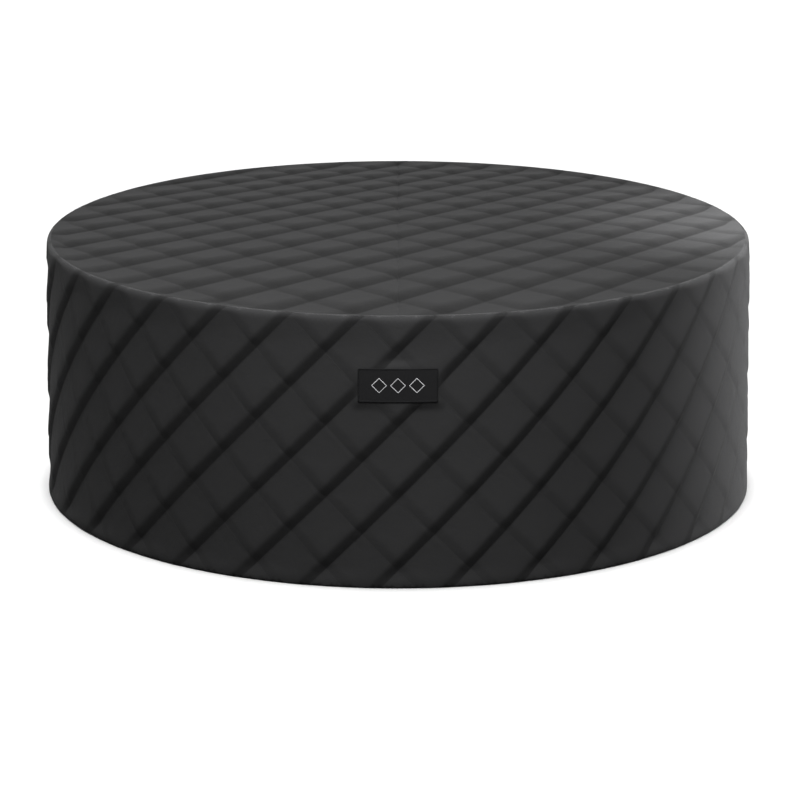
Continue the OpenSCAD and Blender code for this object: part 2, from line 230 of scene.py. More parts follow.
def puckers(a, b, seed):
    """Small folds that run away from the seams, as the stitches gather the cloth."""
    out = np.zeros(len(a))
    for own, along, k in ((a, b, 0), (b, a, 1)):
        near = np.abs(own - np.round(own))
        fade = np.exp(-((near / 0.16) ** 2)) * (1 - np.exp(-((near / 0.02) ** 2)))
        line = np.mod(np.round(own), AROUND)
        ph = 6.283 * hash01(line, 0.0, seed + k)
        wave = 0.0
        for h, (waves, am) in enumerate(((142, 0.5), (234, 0.3), (353, 0.2))):
            turn = TURN * along / AROUND
            wave = wave + am * np.sin(waves * turn + ph * (h + 1) + 1.7 * np.sin(11 * turn + ph))
        out += fade * wave
    return out


def cloth_swell():
    """Cloth simulation of a patch of quilt, PATCH cells each way, held along its seams and blown
    up by its filling. Gives how far the cloth moves out from the drawn pillow shape."""
    n = PATCH * PATCH_STEPS
    line = np.arange(n + 1) / PATCH_STEPS
    aa, bb = np.meshgrid(line, line, indexing="ij")
    a, b = aa.ravel(), bb.ravel()
    z = 0.008 * pillow(a, b, 0.5, 0.30, 5)
    verts = np.stack([a * CELL, b * CELL, z], axis=1)
    idx = np.arange((n + 1) ** 2).reshape(n + 1, n + 1)
    f = np.stack([idx[:-1, :-1], idx[1:, :-1], idx[1:, 1:], idx[:-1, 1:]], axis=-1).reshape(-1, 4)
    patch = make_object("cloth_patch", verts, f.tolist())
    seams = (np.mod(idx // (n + 1), PATCH_STEPS) == 0) | (np.mod(idx % (n + 1), PATCH_STEPS) == 0)
    group = patch.vertex_groups.new(name="seams")
    group.add(idx[seams].tolist(), 1.0, "REPLACE")
    cloth = patch.modifiers.new("cloth", "CLOTH")
    for key, value in (("quality", 6), ("mass", 0.15), ("tension_stiffness", 14),
                       ("compression_stiffness", 14), ("shear_stiffness", 6), ("bending_stiffness", 0.15),
                       ("vertex_group_mass", "seams"), ("use_pressure", True),
                       ("uniform_pressure_force", 2.5), ("shrink_min", -0.006)):
        setattr(cloth.settings, key, value)
    cloth.settings.effector_weights.gravity = 0.2
    cloth.point_cache.frame_start = 1
    cloth.point_cache.frame_end = SWELL_FRAMES
    for frame_no in range(1, SWELL_FRAMES + 1):
        bpy.context.scene.frame_set(frame_no)
    done = patch.evaluated_get(bpy.context.evaluated_depsgraph_get())
    co = np.zeros(3 * len(verts))
    done.data.vertices.foreach_get("co", co)
    moved = co.reshape(-1, 3)[:, 2] - z
    bpy.data.objects.remove(patch)
    bpy.context.scene.frame_set(1)
    moved = np.where(np.isfinite(moved), moved, 0.0)
    # the filling behind the cloth lets it move by about a millimetre
    return (0.0009 * np.tanh(moved / 0.0040)).reshape(n + 1, n + 1)


swell_grid = cloth_swell()


def swell(a, b):
    """The simulated cloth's movement at quilt coordinates a, b. Each cell takes one of the patch's cells."""
    ia, ib = np.floor(a), np.floor(b)
    pick = np.floor(hash01(ia - ib, np.mod(ia + ib, 2 * AROUND), 4) * PATCH * PATCH)
    ga = (np.floor(pick / PATCH) + a - ia) * PATCH_STEPS
    gb = (np.mod(pick, PATCH) + b - ib) * PATCH_STEPS
    i = np.clip(np.floor(ga), 0, PATCH * PATCH_STEPS - 1).astype(int)
    j = np.clip(np.floor(gb), 0, PATCH * PATCH_STEPS - 1).astype(int)
    u, v = ga - i, gb - j
    u, v = u * u * (3 - 2 * u), v * v * (3 - 2 * v)
    low = swell_grid[i, j] * (1 - u) + swell_grid[i + 1, j] * u
    high = swell_grid[i, j + 1] * (1 - u) + swell_grid[i + 1, j + 1] * u
    return low * (1 - v) + high * v


def polar(radius, phi, z):
    """A point at an angle measured round Z from the front, counting to the right."""
    return radius * math.sin(phi), -radius * math.cos(phi), z


def lathe(name, profile, count, mat, shape=None, span=None):
    """Turns a closed outline of (radius, height) points round Z. shape(phi, r, z) may move each point.
    span = (phi0, phi1) makes an open sector with flat ends."""
    full = span is None
    start, stop = (0.0, TURN) if full else span
    rows = count if full else count + 1
    n = len(profile)
    verts, faces = [], []
    for i in range(rows):
        phi = start + (stop - start) * i / count
        for r, z in profile:
            if shape:
                r, z = shape(phi, r, z)
            verts.append(polar(r, phi, z))
    for i in range(count):
        k = (i + 1) % rows
        for j in range(n):
            m = (j + 1) % n
            faces.append((i * n + j, k * n + j, k * n + m, i * n + m))
    if not full:
        faces.append(tuple(range(n))[::-1])
        faces.append(tuple((rows - 1) * n + j for j in range(n)))
    return make_object(name, verts, faces, mat)


def arc_points(cr, cz, r, a0, a1, n):
    out = []
    for i in range(n + 1):
        a = math.radians(a0 + (a1 - a0) * i / n)
        out.append((cr + r * math.cos(a), cz + r * math.sin(a)))
    return out


def spaced(points, step):
    """The same outline with more points, none further apart than step."""
    out = []
    for (r0, z0), (r1, z1) in zip(points, points[1:] + points[:1]):
        n = max(1, math.ceil(math.hypot(r1 - r0, z1 - z0) / step))
        out += [(r0 + (r1 - r0) * i / n, z0 + (z1 - z0) * i / n) for i in range(n)]
    return out


def slab(name, points, thick, mat):
    """A closed thin sheet from a grid of (point, outward direction) pairs."""
    rows, cols = len(points), len(points[0])
    verts = []
    for side in (1, 0):
        for row in points:
            for p, d in row:
                verts.append(Vector(p) + Vector(d) * (thick * side))
    low = rows * cols
    faces = []
    for i in range(rows - 1):
        for j in range(cols - 1):
            a, b, c, d = i * cols + j, i * cols + j + 1, (i + 1) * cols + j + 1, (i + 1) * cols + j
            faces.append((a, b, c, d))
            faces.append((a + low, d + low, c + low, b + low))
    edge = [j for j in range(cols)] + [i * cols + cols - 1 for i in range(1, rows)]
    edge += [(rows - 1) * cols + j for j in range(cols - 2, -1, -1)]
    edge += [i * cols for i in range(rows - 2, 0, -1)]
    for a, b in zip(edge, edge[1:] + edge[:1]):
        faces.append((b, a, a + low, b + low))
    return make_object(name, verts, faces, mat)


def stitched_rope(name, path, width, height, pitch, mat, normal):
    """A closed line of satin stitches: a low ridge swept along path, with one crest for each stitch."""
    closed = path + [path[0]]
    samples = []
    walked = 0.0
    for p, q in zip(closed, closed[1:]):
        n = max(2, math.ceil((q - p).length / (pitch / 4)))
        for i in range(n):
            samples.append((p.lerp(q, i / n), (q - p).normalized(), walked + (q - p).length * i / n))
        walked += (q - p).length
    ring = 7
    verts, faces = [], []
    for k, (p, along, s) in enumerate(samples):
        before = samples[k - 1][1]
        run = (along + before).normalized()
        up = Vector(normal(p)).normalized()
        across = run.cross(up).normalized()
        stretch = 1.0 / max(0.5, run.dot(along))
        crest = 0.82 + 0.18 * math.cos(TURN * s / pitch)
        for j in range(ring):
            a = math.pi * j / (ring - 1)
            verts.append(p + across * (math.cos(a) * width / 2 * stretch)
                         + up * (math.sin(a) * height * crest))
    total = len(samples)
    for k in range(total):
        m = (k + 1) % total
        for j in range(ring - 1):
            faces.append((k * ring + j, k * ring + j + 1, m * ring + j + 1, m * ring + j))
        faces.append((k * ring + ring - 1, k * ring, m * ring, m * ring + ring - 1))
    return make_object(name, verts, faces, mat)


def tub_box(name):
    lo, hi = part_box(name)
    return float(hi[0]), float(lo[2]), float(hi[2])


# ---------------------------------------------------------------- materials
def new_material(name):
    mat = bpy.data.materials.new(name)
    mat.use_nodes = True
    nt = mat.node_tree
    nt.nodes.clear()
    out = nt.nodes.new("ShaderNodeOutputMaterial")
    bsdf = nt.nodes.new("ShaderNodeBsdfPrincipled")
    nt.links.new(bsdf.outputs[0], out.inputs[0])
    return mat, nt, bsdf


def node(nt, kind, **values):
    n = nt.nodes.new(kind)
    for key, val in values.items():
        if key in n.inputs:
            n.inputs[key].default_value = val
        else:
            setattr(n, key, val)
    return n


def math_node(nt, op, a, b=None, c=None, clamp=False):
    n = nt.nodes.new("ShaderNodeMath")
    n.operation = op
    n.use_clamp = clamp
    for i, v in enumerate((a, b, c)):
        if v is None:
            continue
        if isinstance(v, (int, float)):
            n.inputs[i].default_value = v
        else:
            nt.links.new(v, n.inputs[i])
    return n.outputs[0]


def mix_colour(nt, fac, a, b, blend="MIX"):
    n = nt.nodes.new("ShaderNodeMix")
    n.data_type = "RGBA"
    n.blend_type = blend
    n.clamp_factor = True
    for sock, v in ((n.inputs[0], fac), (n.inputs[6], a), (n.inputs[7], b)):
        if isinstance(v, (int, float)):
            sock.default_value = v
        elif isinstance(v, tuple):
            sock.default_value = (*v, 1.0)
        else:
            nt.links.new(v, sock)
    return n.outputs[2]


def seam_mask(nt, uv_name):
    """Distances to the two seam families, in metres, and the place along them."""
    uv = node(nt, "ShaderNodeUVMap", uv_map=uv_name)
    sep = node(nt, "ShaderNodeSeparateXYZ")
    nt.links.new(uv.outputs[0], sep.inputs[0])
    out = []
    for k in (0, 1):
        r = math_node(nt, "ROUND", sep.outputs[k])
        d = math_node(nt, "ABSOLUTE", math_node(nt, "SUBTRACT", sep.outputs[k], r))
        out.append(math_node(nt, "MULTIPLY", d, CELL))
    return out[0], out[1], sep.outputs[0], sep.outputs[1]


# flank sets the painted shade on the lower flanks of the quilt cells: its width across a cell, its depth on
# the deep and on the shallow seam family, and the part of the width that stays fully dark
def fabric_material(name, colour, stitched=True, weave=0.0011, sheen=0.04, rough=0.85,
                    flank=(0.2, 0.4, 0.2, 0.6)):
    mat, nt, bsdf = new_material(name)
    tc = node(nt, "ShaderNodeTexCoord")
    pos = tc.outputs["Object"]
    # broad and small tone changes of the dyed cloth
    broad = node(nt, "ShaderNodeTexNoise", Scale=3.2, Detail=3.0, Roughness=0.55)
    fine = node(nt, "ShaderNodeTexNoise", Scale=160.0, Detail=4.0, Roughness=0.6)
    nt.links.new(pos, broad.inputs["Vector"])
    nt.links.new(pos, fine.inputs["Vector"])
    light = tuple(min(1.0, c * 1.22) for c in colour)
    dark = tuple(c * 0.80 for c in colour)
    col = mix_colour(nt, broad.outputs[0], dark, light)
    fleck = math_node(nt, "MULTIPLY", math_node(nt, "SUBTRACT", fine.outputs[0], 0.5), 0.55)
    col = mix_colour(nt, math_node(nt, "ADD", fleck, 0.5, clamp=True), tuple(c * 0.9 for c in colour), col)
    # plain weave: crossed threads as height
    if stitched:
        da, db, ua, ub = seam_mask(nt, "quilt")
        thread = TURN * CELL / weave
        wa = math_node(nt, "SINE", math_node(nt, "MULTIPLY", ua, thread))
        wb = math_node(nt, "SINE", math_node(nt, "MULTIPLY", ub, thread))
    else:
        sep = node(nt, "ShaderNodeSeparateXYZ")
        nt.links.new(pos, sep.inputs[0])
        thread = TURN / weave
        flat = math_node(nt, "ADD", sep.outputs[0], sep.outputs[2])
        wa = math_node(nt, "SINE", math_node(nt, "MULTIPLY", flat, thread))
        rise = math_node(nt, "ADD", sep.outputs[1], sep.outputs[2])
        wb = math_node(nt, "SINE", math_node(nt, "MULTIPLY", rise, thread))
    height = math_node(nt, "MULTIPLY", math_node(nt, "MULTIPLY", wa, wb), 0.00010)
    height = math_node(nt, "ADD", height, math_node(nt, "MULTIPLY", fine.outputs[0], 0.00022))
    crease = node(nt, "ShaderNodeTexNoise", Scale=34.0, Detail=5.0, Roughness=0.62, Distortion=0.8)
    nt.links.new(pos, crease.inputs["Vector"])
    height = math_node(nt, "ADD", height, math_node(nt, "MULTIPLY", crease.outputs[0], 0.0012))
    if stitched:
        # thread stitches lie along both seam families
        near = math_node(nt, "MINIMUM", da, db)
        line = math_node(nt, "SUBTRACT", 1.0, math_node(nt, "DIVIDE", near, 0.0016), clamp=True)
        pick = math_node(nt, "LESS_THAN", da, db)
        along = mix_float(nt, pick, ua, ub)
        beat = math_node(nt, "FRACT", math_node(nt, "MULTIPLY", along, CELL / STITCH))
        off_beat = math_node(nt, "ABSOLUTE", math_node(nt, "SUBTRACT", beat, 0.5))
        dash = math_node(nt, "LESS_THAN", off_beat, 0.36)
        stitch = math_node(nt, "MULTIPLY", line, dash)
        thread_tone = tuple(min(1.0, c * 1.25) for c in colour)
        col = mix_colour(nt, math_node(nt, "MULTIPLY", stitch, 0.6), col, thread_tone)
        # painted shade: the lower flank of each cell is darkened in the colour, deepest next to the seam,
        # standing in for the shade under each pillow; the crests keep the plain colour
        width, strong, soft, core = flank
        fa = math_node(nt, "FRACT", ua)
        fb = math_node(nt, "SUBTRACT", 1.0, math_node(nt, "FRACT", ub))
        shade = 1.0
        for place, depth in ((fa, soft), (fb, strong)):
            ramp = node(nt, "ShaderNodeMapRange", interpolation_type="SMOOTHSTEP")
            ramp.inputs["From Min"].default_value = width * core
            ramp.inputs["From Max"].default_value = width * 1.15
            ramp.inputs["To Min"].default_value = 1.0 - depth
            ramp.inputs["To Max"].default_value = 1.0
            nt.links.new(place, ramp.inputs["Value"])
            shade = math_node(nt, "MULTIPLY", ramp.outputs[0], shade)
        col = mix_colour(nt, shade, (0.0, 0.0, 0.0), col)
        height = math_node(nt, "ADD", height, math_node(nt, "MULTIPLY", stitch, 0.0006))
    bump = node(nt, "ShaderNodeBump", Strength=0.55, Distance=1.0)
    nt.links.new(height, bump.inputs["Height"])
    nt.links.new(bump.outputs[0], bsdf.inputs["Normal"])
    nt.links.new(col, bsdf.inputs["Base Color"])
    rr = math_node(nt, "ADD", math_node(nt, "MULTIPLY", fine.outputs[0], 0.16), rough - 0.08)
    nt.links.new(rr, bsdf.inputs["Roughness"])
    bsdf.inputs["Sheen Weight"].default_value = sheen
    bsdf.inputs["Sheen Roughness"].default_value = 0.45
    bsdf.inputs["Specular IOR Level"].default_value = 0.07
    return mat


def mix_float(nt, fac, a, b):
    n = nt.nodes.new("ShaderNodeMix")
    n.data_type = "FLOAT"
    for sock, v in ((n.inputs[0], fac), (n.inputs[2], a), (n.inputs[3], b)):
        if isinstance(v, (int, float)):
            sock.default_value = v
        else:
            nt.links.new(v, sock)
    return n.outputs[0]


def plastic_material(name, colour, rough=0.45, grain=900.0, grain_depth=0.0001, metallic=0.0, coat=0.0,
                     vary=0.08):
    """Moulded or sheet plastic, rubber and metal with a fine surface grain and faint wear."""
    mat, nt, bsdf = new_material(name)
    tc = node(nt, "ShaderNodeTexCoord")
    pos = tc.outputs["Object"]
    big = node(nt, "ShaderNodeTexNoise", Scale=5.0, Detail=4.0, Roughness=0.6)
    small = node(nt, "ShaderNodeTexNoise", Scale=grain, Detail=2.0, Roughness=0.5)
    scuff = node(nt, "ShaderNodeTexNoise", Scale=42.0, Detail=6.0, Roughness=0.7, Distortion=1.2)
    for t in (big, small, scuff):
        nt.links.new(pos, t.inputs["Vector"])
    col = mix_colour(nt, big.outputs[0], tuple(c * (1 - vary) for c in colour),
                     tuple(min(1.0, c * (1 + vary)) for c in colour))
    worn = math_node(nt, "SUBTRACT", scuff.outputs[0], 0.62, clamp=True)
    worn = math_node(nt, "MULTIPLY", worn, 1.6, clamp=True)
    col = mix_colour(nt, worn, col, tuple(min(1.0, c * 1.25 + 0.02) for c in colour))
    nt.links.new(col, bsdf.inputs["Base Color"])
    rr = math_node(nt, "ADD", math_node(nt, "MULTIPLY", scuff.outputs[0], 0.22), rough - 0.11)
    nt.links.new(rr, bsdf.inputs["Roughness"])
    bump = node(nt, "ShaderNodeBump", Strength=0.4, Distance=1.0)
    h = math_node(nt, "ADD", math_node(nt, "MULTIPLY", small.outputs[0], grain_depth),
                  math_node(nt, "MULTIPLY", scuff.outputs[0], grain_depth * 1.5))
    nt.links.new(h, bump.inputs["Height"])
    nt.links.new(bump.outputs[0], bsdf.inputs["Normal"])
    bsdf.inputs["Metallic"].default_value = metallic
    bsdf.inputs["Coat Weight"].default_value = coat
    return mat


# the side and top cloth share one colour and differ only in their painted flank shade, which is wider and
# deeper on the top
quilt_mat = fabric_material("quilt_cloth_side", (0.0225, 0.0225, 0.0230), flank=(0.21, 0.42, 0.14, 0.60))
quilt_top_mat = fabric_material("quilt_cloth_top", (0.0225, 0.0225, 0.0230), flank=(0.36, 0.60, 0.32, 0.12))
tape_mat = fabric_material("tape_cloth", (0.018, 0.018, 0.019), stitched=False, weave=0.0016, sheen=0.03)
lining_mat = fabric_material("lining_cloth", (0.17, 0.175, 0.18),
                             stitched=False, weave=0.0009, sheen=0.05, rough=0.55)
label_mat = fabric_material("label_cloth", (0.0095, 0.0095, 0.010),
                            stitched=False, weave=0.0007, sheen=0.02, rough=0.6)
edge_mat = fabric_material("edge_thread", (0.0060, 0.0060, 0.0064),
                           stitched=False, weave=0.0005, sheen=0.02, rough=0.6)
thread_mat = fabric_material("emblem_thread", (0.52, 0.52, 0.53),
                             stitched=False, weave=0.0006, sheen=0.1, rough=0.5)

# ---------------------------------------------------------------- camera
cam_data = bpy.data.cameras.new("camera")
cam = bpy.data.objects.new("camera", cam_data)
bpy.context.scene.collection.objects.link(cam)
cam.location = (0.0, -9.6025 * rim_r, 2.9116 * rim_r)
cam.rotation_euler = (math.radians(90 - 15.587), 0.0, 0.0)
cam_data.lens = 155.2
cam_data.sensor_width = 36.0
cam_data.shift_x = 0.0025
cam_data.clip_end = 100.0
bpy.context.scene.camera = cam

# ---------------------------------------------------------------- quilted top, two halves
TOP_H = 0.0085
top_r = flange_r - 0.0001
fold_x = 0.00015
KEY = 0.2132
CELL_X = 0.1858
CELL_Y = 0.196
PHASE_Y = 0.329


def top_lattice(x, y):
    w = 1.0 / (1.0 - KEY * y)
    u = x * w / CELL_X
    v = y * w / CELL_Y + PHASE_Y
    return u + v, u - v


def top_place(a, b):
    u, v = (a + b) / 2, (a - b) / 2
    yy = (v - PHASE_Y) * CELL_Y
    y = yy / (1 + KEY * yy)
    return u * CELL_X / (1 + KEY * yy), y


def top_height(x, y):
    a, b = top_lattice(x, y)
    r = np.hypot(x, y)
    edge = np.clip((top_r - r) / 0.042, 0, 1)
    edge = edge * edge * (3 - 2 * edge)
    depth = TOP_H * (0.04 + 0.96 * edge)
    h = -depth * (1 - pillow(a, b, 0.34, 0.30, 1))
    h += (0.0005 * puckers(a, b, 3) + swell(a, b)) * edge
    h -= 0.0030 * edge * np.exp(-((np.abs(x) / 0.006) ** 1.3))
    return np.clip(h, -0.0130, 0.0008)


def top_half(side, name, body):
    lo, hi = -13, 13
    n = (hi - lo) * CUTS
    t = cell_steps(CUTS, CUT_CROWDING)
    line = np.concatenate([lo + i + t for i in range(hi - lo)] + [[hi]])
    aa, bb = np.meshgrid(line, line, indexing="ij")
    x, y = top_place(aa.ravel(), bb.ravel())
    ok = (np.hypot(x, y) < panel_r + 0.03) & (x * side > -0.03)
    ok = ok & (1 + KEY * (((aa.ravel() - bb.ravel()) / 2 - PHASE_Y) * CELL_Y) > 0.2)
    idx = np.arange((n + 1) ** 2).reshape(n + 1, n + 1)
    f = np.stack([idx[:-1, :-1], idx[1:, :-1], idx[1:, 1:], idx[:-1, 1:]], axis=-1).reshape(-1, 4)
    # the lattice is mirrored in the plane, so turn the faces upwards
    f = f[:, ::-1]
    f = f[ok[f].all(axis=1)]
    used = np.unique(f)
    remap = -np.ones((n + 1) ** 2, int)
    remap[used] = np.arange(len(used))
    uv = np.stack([x[used], y[used]], axis=1)
    faces = [tuple(q) for q in remap[f]]

    def snap_r(p):
        return p * (top_r / np.hypot(p[:, 0], p[:, 1]))[:, None]

    def snap_x(p):
        q = p.copy()
        q[:, 0] = side * fold_x
        return q

    uv, faces = clip(uv, faces, lambda p: np.hypot(p[:, 0], p[:, 1]) - top_r, snap_r, 0.0010)
    uv, faces = clip(uv, faces, lambda p: fold_x - p[:, 0] * side, snap_x, 0.0010)
    x, y = uv[:, 0], uv[:, 1]
    z = top_z + top_height(x, y)
    verts = np.stack([x, y, z], axis=1)
    # turn the edge down and under, onto the lining
    loop = max(boundary_loops(faces), key=len)
    turns = [(-0.0002, -0.0006), (-0.0022, -0.0050), (-0.0036, -0.0110), (-0.0075, -0.0165),
             (-0.0116, -0.0200), (-0.0124, -0.0300), (-0.0130, -0.0365), (-0.0170, -0.0370),
             (-0.0250, -0.0371)]
    allv = [tuple(v) for v in verts]
    prev = loop
    on_line, fold_clear = 0.0008, 0.0006
    for din, dz in turns:
        cur = []
        for p in verts[loop]:
            q = np.array([p[0], p[1]])
            r = math.hypot(q[0], q[1])
            if r > top_r - on_line:
                q = q * ((r + din) / r)
            if abs(q[0] * side - fold_x) < on_line or abs(p[0] * side - fold_x) < on_line:
                q[0] = side * (fold_x + fold_clear)
            zz = top_z + dz if dz < -0.004 else p[2] + dz
            allv.append((q[0], q[1], min(zz, p[2] + dz)))
            cur.append(len(allv) - 1)
        band(faces, prev, cur)
        prev = cur
    obj = make_object(name, allv, faces, quilt_top_mat)
    obj.data.set_sharp_from_angle(angle=math.radians(55))
    co = np.array(allv)
    a, b = top_lattice(co[:, 0], co[:, 1])
    # below the rim the cloth has no quilt seams
    under = co[:, 2] < top_z - 0.0155
    a = np.where(under, np.floor(a) + 0.5, a)
    b = np.where(under, np.floor(b) + 0.5, b)
    li = corner_vertices(obj)
    add_lattice(obj, a[li], b[li])
    wear(obj, body)
    return obj


top_left = top_half(-1, "quilted_top_left", "jacket")
top_right = top_half(1, "quilted_top_right", "lid_right")
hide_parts("top_quilt_left")
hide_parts("top_quilt_right")

# ---------------------------------------------------------------- quilted skirt
SIDE_H = 0.0070
CELL_Z = 0.183
VERTEX_Z = 0.410
arc_len = shoulder * math.pi / 2
s_top = shoulder_z + arc_len


def skirt_lattice(phi, s):
    u = phi / TURN * AROUND
    w = (s - VERTEX_Z) / CELL_Z
    return u + w, u - w


def skirt_point(phi, s, h):
    """Point on the jacket's side or shoulder, h metres inside the CAD surface."""
    over = np.clip(s - shoulder_z, 0, None)
    ang = over / shoulder
    r = np.where(s <= shoulder_z, side_r(s) - h, flange_r + (shoulder - h) * np.cos(ang))
    z = np.where(s <= shoulder_z, s, shoulder_z + (shoulder - h) * np.sin(ang))
    return r * np.sin(phi), -r * np.cos(phi), z


def label_pad(phi, s):
    """1 behind the sewn label, where the quilt is pressed flat, and 0 away from it."""
    lo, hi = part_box("label_patch")
    along = np.abs((phi + math.pi) % TURN - math.pi) * side_r(0.5) - (hi[0] - lo[0]) / 2
    above = np.abs(s - (hi[2] + lo[2]) / 2) - (hi[2] - lo[2]) / 2
    away = np.clip(np.hypot(np.clip(along, 0, None), np.clip(above, 0, None)) / 0.020, 0, 1)
    return 1 - away * away * (3 - 2 * away)


def skirt_depth(phi, s):
    a, b = skirt_lattice(phi, s)
    rim = np.clip((s_top - s) / 0.090, 0, 1)
    rim = rim * rim * (3 - 2 * rim)
    hem = np.clip((s - hem_z) / 0.045, 0, 1)
    hem = hem * hem * (3 - 2 * hem)
    depth = SIDE_H * (0.03 + 0.97 * rim) * (0.10 + 0.90 * hem)
    h = depth * (1 - pillow(a, b, 0.74, 0.19, 2))
    h -= (0.0004 * puckers(a, b, 9) + swell(a, b)) * rim * hem
    h += 0.0010 * np.exp(-(((s - hem_z) / 0.004) ** 1.5))
    h += 0.0040 * np.clip(1 - (s_top - s) / 0.085, 0, 1) ** 2 * np.clip((s_top - s) / arc_len, 0, 1)
    return np.clip(h, -0.0008, 0.0128) * (1 - label_pad(phi, s))


def build_skirt():
    """The quilted side: a mesh on the seam lattice, cut at the rim and the hem, with both edges turned in."""
    t = cell_steps(CUTS, CUT_CROWDING)
    per = AROUND * CUTS
    k_lo = math.floor((hem_z - VERTEX_Z) / CELL_Z) - 1
    k_hi = math.ceil((s_top - VERTEX_Z) / CELL_Z) + 1
    index, phis, ss, quads = {}, [], [], []

    def pos(i):
        c, k = np.divmod(i, CUTS)
        return c + t[k]

    def vid(i, j):
        # (i, j) and (i + per, j + per) are the same point, one turn apart
        c = math.floor((i + j) / (2 * per))
        key = (i - c * per, j - c * per)
        if key not in index:
            a, b = pos(key[0]), pos(key[1])
            phis.append((a + b) / 2 / AROUND * TURN)
            ss.append((a - b) / 2 * CELL_Z + VERTEX_Z)
            index[key] = len(phis) - 1
        return index[key]

    # d = i - j goes up; one turn round is i + j from 0 to 2 * per - 1
    margin = 0.042
    for d in range(2 * k_lo * CUTS, 2 * k_hi * CUTS + 1):
        s_mid = 0.5 * d / CUTS * CELL_Z + VERTEX_Z
        if not (hem_z - margin < s_mid < s_top + margin):
            continue
        for m in range(2 * per):
            if (m + d) % 2 == 0:
                i, j = (m + d) // 2, (m - d) // 2
                quads.append((vid(i, j), vid(i + 1, j), vid(i + 1, j + 1), vid(i, j + 1))[::-1])
    # rows of (cosine, sine, height along the side), so that nothing breaks where the turn closes
    phi = np.mod(np.array(phis), TURN)
    rows = np.stack([np.cos(phi), np.sin(phi), np.array(ss)], axis=1)
    for limit, sign in ((s_top, 1), (hem_z, -1)):
        def snap(p):
            q = p.copy()
            q[:, :2] /= np.hypot(q[:, 0], q[:, 1])[:, None]
            q[:, 2] = limit
            return q

        rows, quads = clip(rows, quads, lambda p: sign * (p[:, 2] - limit), snap, 0.0010)
    s = rows[:, 2]
    phi = np.mod(np.arctan2(rows[:, 1], rows[:, 0]), TURN)
    x, y, z = skirt_point(phi, s, skirt_depth(phi, s))
    allv = [tuple(v) for v in np.stack([x, y, z], axis=1)]
    faces = list(quads)
    for loop in boundary_loops(faces):
        top = s[loop[0]] > 0.3
        if top:
            # rolls over into the groove and down the inner edge
            turns = [(-0.0001, -0.0012), (-0.0003, -0.0045), (-0.0003, -0.0100), (0.0002, -0.0190),
                     (0.0060, -0.0260)]
        else:
            # the folded hem
            turns = [(-0.0016, -0.0014), (-0.0045, -0.0016), (-0.0075, -0.0008), (-0.0082, 0.0030),
                     (-0.0084, 0.0240)]
        prev = loop
        base = [allv[i] for i in loop]
        for dr, dz in turns:
            cur = []
            for p in base:
                r = math.hypot(p[0], p[1])
                k = (r + dr) / r
                if top:
                    z = min(p[2] - 0.001, (top_z if dz < -0.008 else p[2]) + dz)
                else:
                    z = max(0.0006, p[2] + dz)
                allv.append((p[0] * k, p[1] * k, z))
                cur.append(len(allv) - 1)
            band(faces, prev, cur)
            prev = cur
    obj = make_object("quilted_skirt", allv, faces, quilt_mat)
    n0 = len(s)
    co = np.array(allv)
    ang = np.mod(np.arctan2(co[:, 0], -co[:, 1]), TURN)
    a, b = skirt_lattice(ang, np.concatenate([s, np.full(len(allv) - n0, s_top)]))
    a[n0:], b[n0:] = 0.5, 0.5
    li = corner_vertices(obj)
    al, bl = a[li], b[li]
    # a face that crosses the join gets its low side moved one turn on
    for poly in obj.data.polygons:
        r0, r1 = poly.loop_start, poly.loop_start + poly.loop_total
        u = (al[r0:r1] + bl[r0:r1]) / 2
        if u.max() - u.min() > AROUND / 2:
            low = u < AROUND / 2
            al[r0:r1][low] += AROUND
            bl[r0:r1][low] += AROUND
    add_lattice(obj, al, bl)
    wear(obj, "jacket", "skirt_quilt")


build_skirt()

# ---------------------------------------------------------------- materials of the carried-over CAD nodes
wall_mat = plastic_material("wall_sheet", (0.075, 0.080, 0.088), rough=0.42, grain=700.0, grain_depth=0.0002)
basin_mat = plastic_material("basin_sheet", (0.20, 0.28, 0.34), rough=0.38, grain=500.0, grain_depth=0.0002)
fitting_mat = plastic_material("fitting_plastic", (0.62, 0.64, 0.66), rough=0.35)
cap_mat = plastic_material("cap_plastic", (0.035, 0.12, 0.22), rough=0.38)
dark_mat = plastic_material("dark_plastic", (0.022, 0.023, 0.025), rough=0.5,
                            grain=1400.0, grain_depth=0.00015)
foam_mat = plastic_material("foam", (0.72, 0.72, 0.69), rough=0.85, grain=380.0, grain_depth=0.0006)
mat_mat = plastic_material("ground_foam", (0.030, 0.032, 0.036), rough=0.8, grain=260.0, grain_depth=0.0007)
steel_mat = plastic_material("brushed_metal", (0.50, 0.50, 0.51), rough=0.32, metallic=1.0)
nickel_mat = plastic_material("dark_nickel", (0.16, 0.16, 0.17), rough=0.35, metallic=1.0)
motor_mat = plastic_material("motor_paint", (0.03, 0.03, 0.033), rough=0.4, coat=0.2)
board_mat = plastic_material("board_mask", (0.015, 0.10, 0.045), rough=0.35, coat=0.3)
chip_mat = plastic_material("chip", (0.015, 0.015, 0.017), rough=0.5)
key_mat = plastic_material("key_rubber", (0.48, 0.49, 0.50), rough=0.6)
lens_mat = plastic_material("lens", (0.006, 0.006, 0.008), rough=0.12, coat=0.6)
paper_mat = fabric_material("filter_paper", (0.66, 0.65, 0.60), stitched=False,
                            weave=0.002, sheen=0.0, rough=0.85)
web_mat = plastic_material("web_sheet", (0.52, 0.54, 0.56), rough=0.5)

